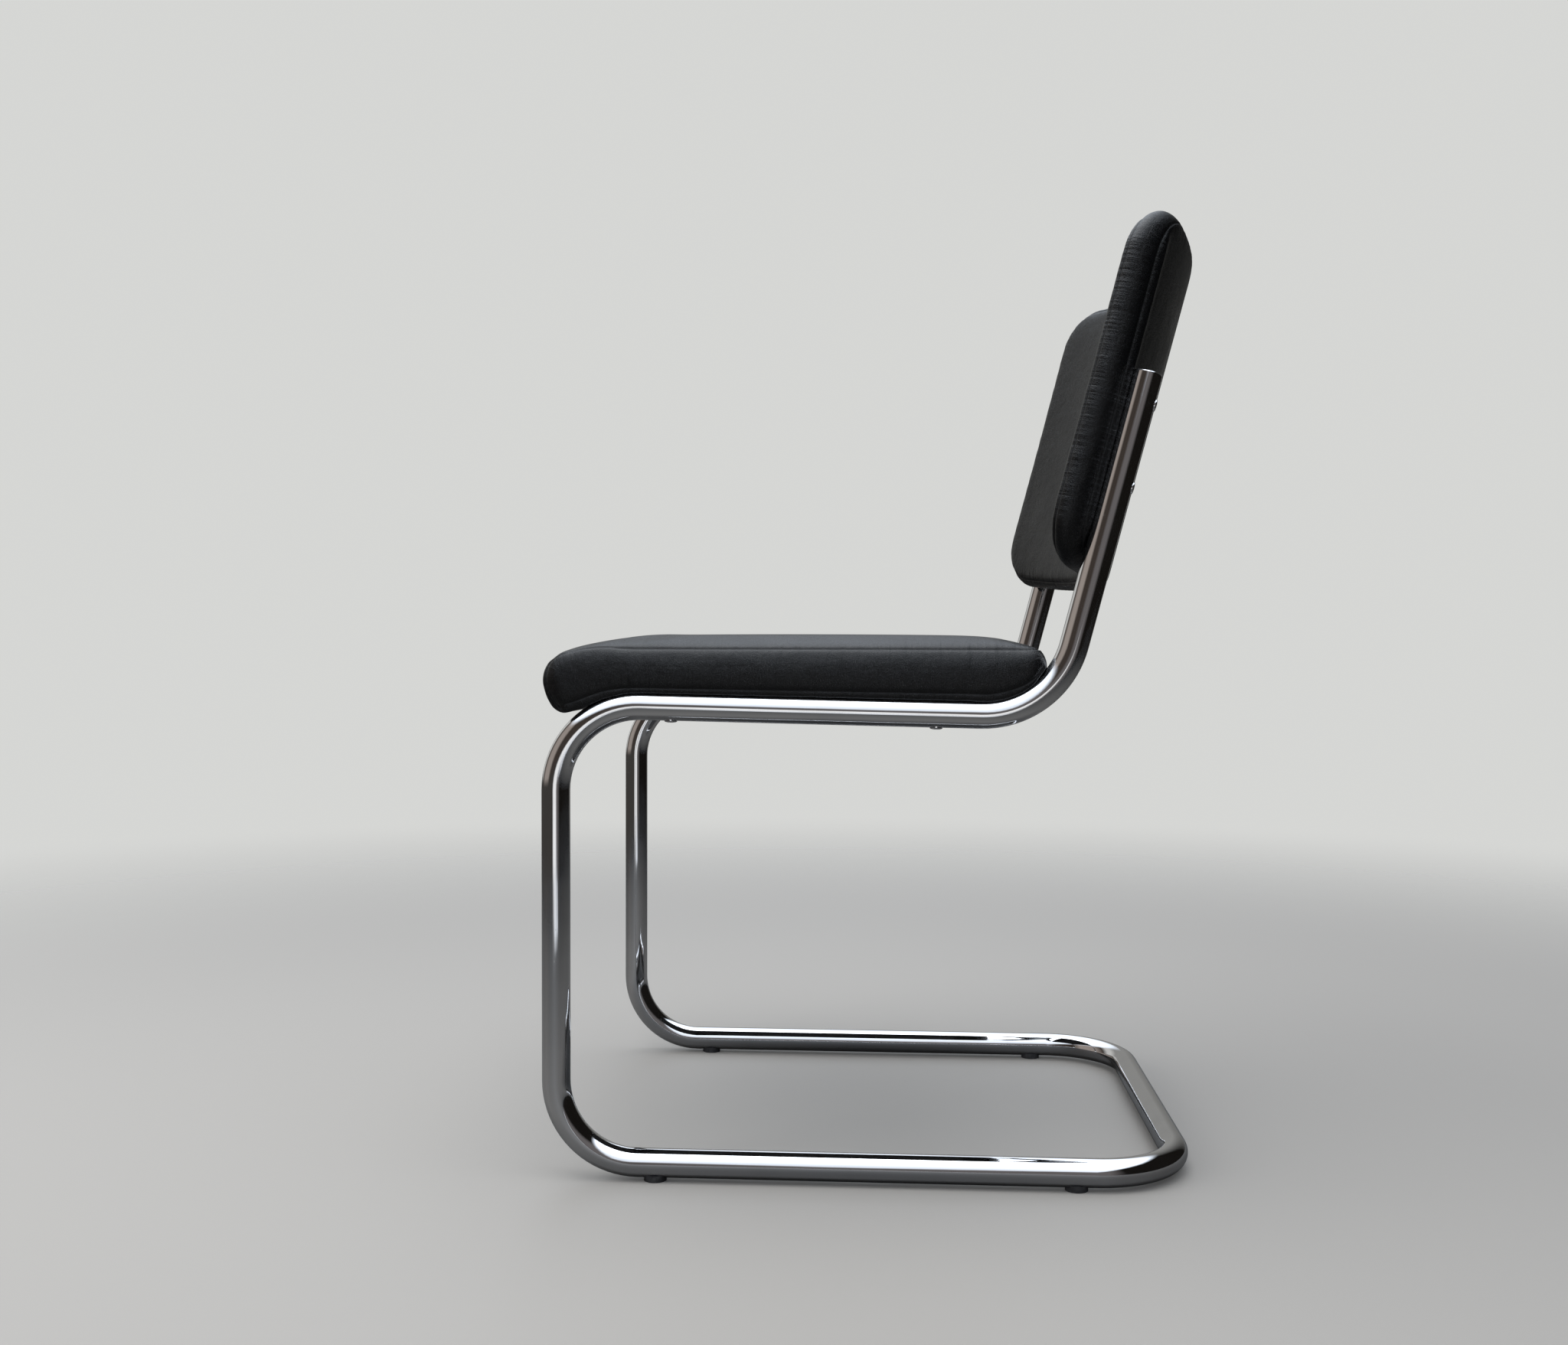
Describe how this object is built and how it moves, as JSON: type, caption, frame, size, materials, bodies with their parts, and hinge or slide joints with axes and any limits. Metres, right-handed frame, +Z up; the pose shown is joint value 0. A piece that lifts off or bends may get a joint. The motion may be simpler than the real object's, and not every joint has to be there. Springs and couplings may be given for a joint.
{
  "type": "cantilever chair",
  "caption": "Cantilever chair: one bent chromed tube carries a flat padded leather seat and a curved padded leather back, with no rear legs.",
  "frame": {"origin": "on the floor, under the middle of the chair's box", "axes": "+Z up; the sitter faces -Y, so the front uprights are at -Y; +X is the sitter's left"},
  "size_m": [0.471, 0.5905, 0.842],
  "materials": {
    "chrome_tube": "polished chrome plate",
    "cap": "polished",
    "glide": "moulded",
    "plywood": "raw moulded plywood",
    "foam": "upholstery foam",
    "seat_leather": "smooth, semi-matt",
    "back_leather": "smooth, semi-matt",
    "cover_cloth": "thin black cloth",
    "screw": "bright plated",
    "nut": "zinc plated"
  },
  "bodies": {
    "root": {"tube_frame": "chrome_tube", "tube_cap_left": "cap", "tube_cap_right": "cap", "glide_front_left": "glide", "glide_front_right": "glide", "glide_rear_left": "glide", "glide_rear_right": "glide", "seat_board": "plywood", "seat_foam": "foam", "seat_top_panel": "seat_leather", "seat_side_band": "seat_leather", "seat_under_cover": "cover_cloth", "seat_screws": "screw", "seat_tee_nuts": "nut", "back_board": "plywood", "back_foam": "foam", "back_front_panel": "back_leather", "back_side_band": "back_leather", "back_rear_panel": "back_leather", "back_screws": "screw", "back_inserts": "nut"}
  },
  "joints": []
}
